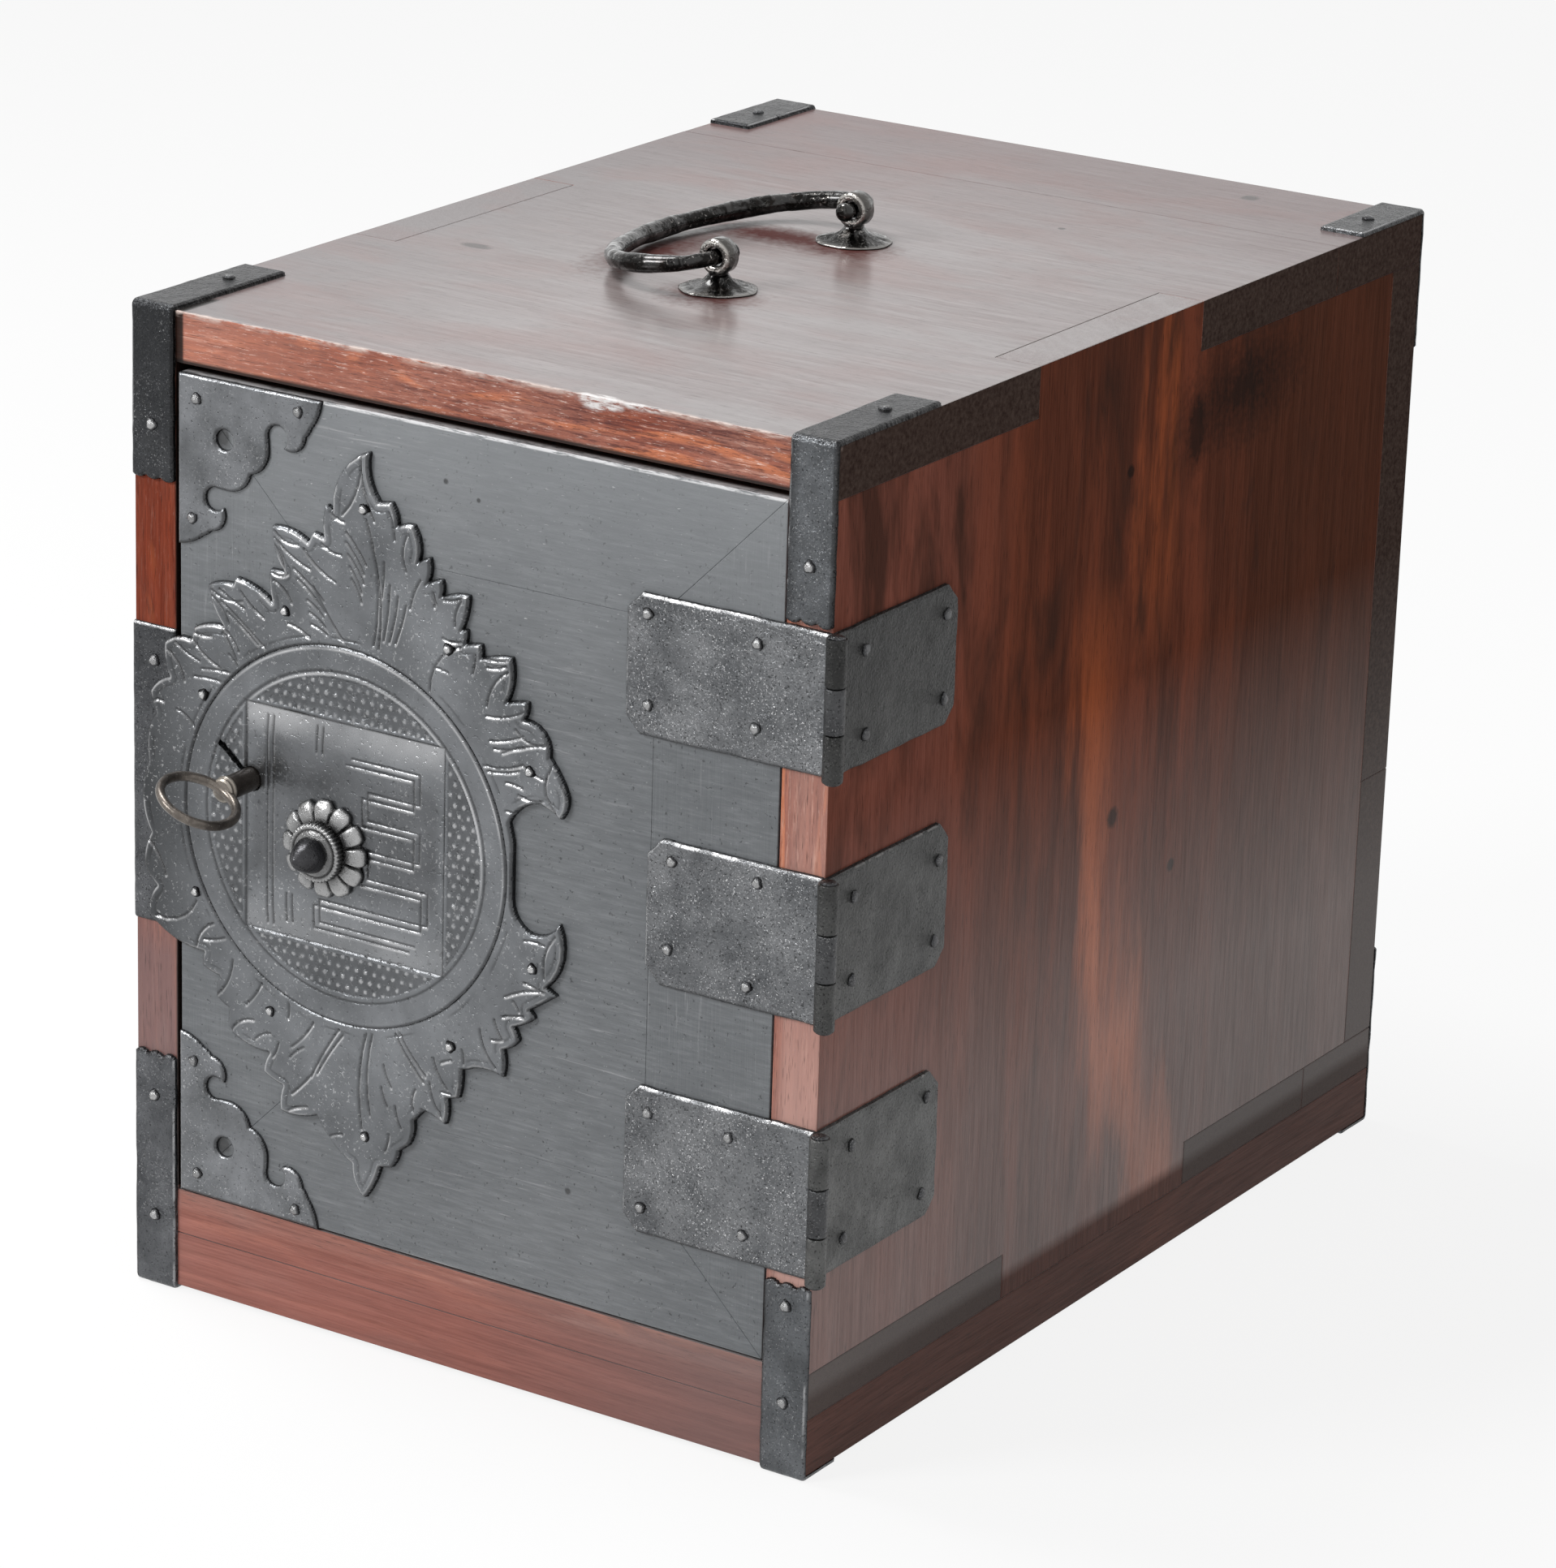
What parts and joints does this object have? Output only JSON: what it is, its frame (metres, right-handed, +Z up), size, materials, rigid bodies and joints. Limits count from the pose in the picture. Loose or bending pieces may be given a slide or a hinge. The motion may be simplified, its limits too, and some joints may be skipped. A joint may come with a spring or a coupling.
{
  "type": "tabletop chest",
  "caption": "Tabletop wooden chest with iron straps, a hinged door with a leaf-shaped lock plate and key, drawers behind it and a bail handle on top.",
  "frame": {"origin": "on the floor below the middle of the carcass footprint, straps left out of account", "axes": "+X to the right of someone facing the door, +Y to the back, +Z up"},
  "size_m": [0.3487, 0.5376, 0.4515],
  "materials": {
    "carcass_wood": "satin",
    "inner_wood": "matte",
    "drawer_front_wood": "satin",
    "door_lacquer": "satin",
    "dark_iron": "satin",
    "nail_iron": "satin",
    "handle_iron": "satin",
    "knob_metal": "gloss",
    "key_brass": "satin"
  },
  "bodies": {
    "chest": {"side_board_left": "carcass_wood", "side_board_right": "carcass_wood", "top_board": "carcass_wood", "top_rear_strip": "carcass_wood", "bottom_board": "carcass_wood", "bottom_rear_strip": "carcass_wood", "back_board_lower": "carcass_wood", "back_board_upper": "carcass_wood", "plinth_front": "carcass_wood", "plinth_back": "carcass_wood", "plinth_sides": "carcass_wood", "shelf_upper": "inner_wood", "shelf_lower": "inner_wood", "front_top_straps": "dark_iron", "rear_top_straps": "dark_iron", "front_foot_straps": "dark_iron", "rear_foot_straps": "dark_iron", "carcass_nails": "nail_iron", "keeper_plate": "dark_iron", "hinge_side_leaf_top": "dark_iron", "hinge_side_leaf_middle": "dark_iron", "hinge_side_leaf_bottom": "dark_iron", "hinge_pins": "dark_iron", "handle_escutcheons": "handle_iron", "handle_eyes": "handle_iron"},
    "door": {"door_stile_left": "door_lacquer", "door_stile_right": "door_lacquer", "door_rail_top": "door_lacquer", "door_rail_bottom": "door_lacquer", "door_panel": "door_lacquer", "hinge_door_leaf_top": "dark_iron", "hinge_door_leaf_middle": "dark_iron", "hinge_door_leaf_bottom": "dark_iron", "door_corner_plate_top": "dark_iron", "door_corner_plate_bottom": "dark_iron", "door_nails": "nail_iron", "lock_plate": "dark_iron", "lock_plate_rivets": "nail_iron", "knob_rosette": "knob_metal", "knob_collar": "knob_metal", "pull_knob": "knob_metal", "lock_case": "dark_iron"},
    "lock_bolt": {"lock_bolt": "dark_iron"},
    "key": {"key": "key_brass"},
    "handle": {"handle_bail": "handle_iron"},
    "drawer_top": {"drawer_front_top": "drawer_front_wood", "drawer_sides_top": "inner_wood", "drawer_back_top": "inner_wood", "drawer_bottom_top": "inner_wood", "drawer_pull_top": "nail_iron"},
    "drawer_middle": {"drawer_front_middle": "drawer_front_wood", "drawer_sides_middle": "inner_wood", "drawer_back_middle": "inner_wood", "drawer_bottom_middle": "inner_wood", "drawer_pull_middle": "nail_iron"},
    "drawer_bottom": {"drawer_front_bottom": "drawer_front_wood", "drawer_sides_bottom": "inner_wood", "drawer_back_bottom": "inner_wood", "drawer_bottom_bottom": "inner_wood", "drawer_pull_bottom": "nail_iron"}
  },
  "joints": [
    {"name": "door_hinge", "type": "hinge", "parent": "chest", "child": "door", "pos_m": [0.17375, -0.24325, 0.2263], "axis": [0, 0, 1], "range_deg": [0, 240]},
    {"name": "handle_swing", "type": "hinge", "parent": "chest", "child": "handle", "pos_m": [0.0025, -0.0175, 0.4442], "axis": [0, 1, 0], "range_deg": [0, 163]},
    {"name": "key_turn", "type": "hinge", "parent": "door", "child": "key", "pos_m": [-0.1075, -0.25, 0.2395], "axis": [0, 1, 0], "range_deg": [0, 270]},
    {"name": "bolt_slide", "type": "slide", "parent": "door", "child": "lock_bolt", "axis": [-1, 0, 0], "range_m": [0, 0.012]},
    {"name": "drawer_slide_top", "type": "slide", "parent": "chest", "child": "drawer_top", "axis": [0, -1, 0], "range_m": [0, 0.2]},
    {"name": "drawer_slide_middle", "type": "slide", "parent": "chest", "child": "drawer_middle", "axis": [0, -1, 0], "range_m": [0, 0.2]},
    {"name": "drawer_slide_bottom", "type": "slide", "parent": "chest", "child": "drawer_bottom", "axis": [0, -1, 0], "range_m": [0, 0.2]}
  ],
  "couplings": [
    {"joint": "bolt_slide", "follows": "key_turn", "m_per_rad": 0.002546},
    {"joint": "drawer_slide_top", "follows": "door_hinge", "m_per_rad": 0.047},
    {"joint": "drawer_slide_middle", "follows": "door_hinge", "m_per_rad": 0.047},
    {"joint": "drawer_slide_bottom", "follows": "door_hinge", "m_per_rad": 0.047}
  ]
}
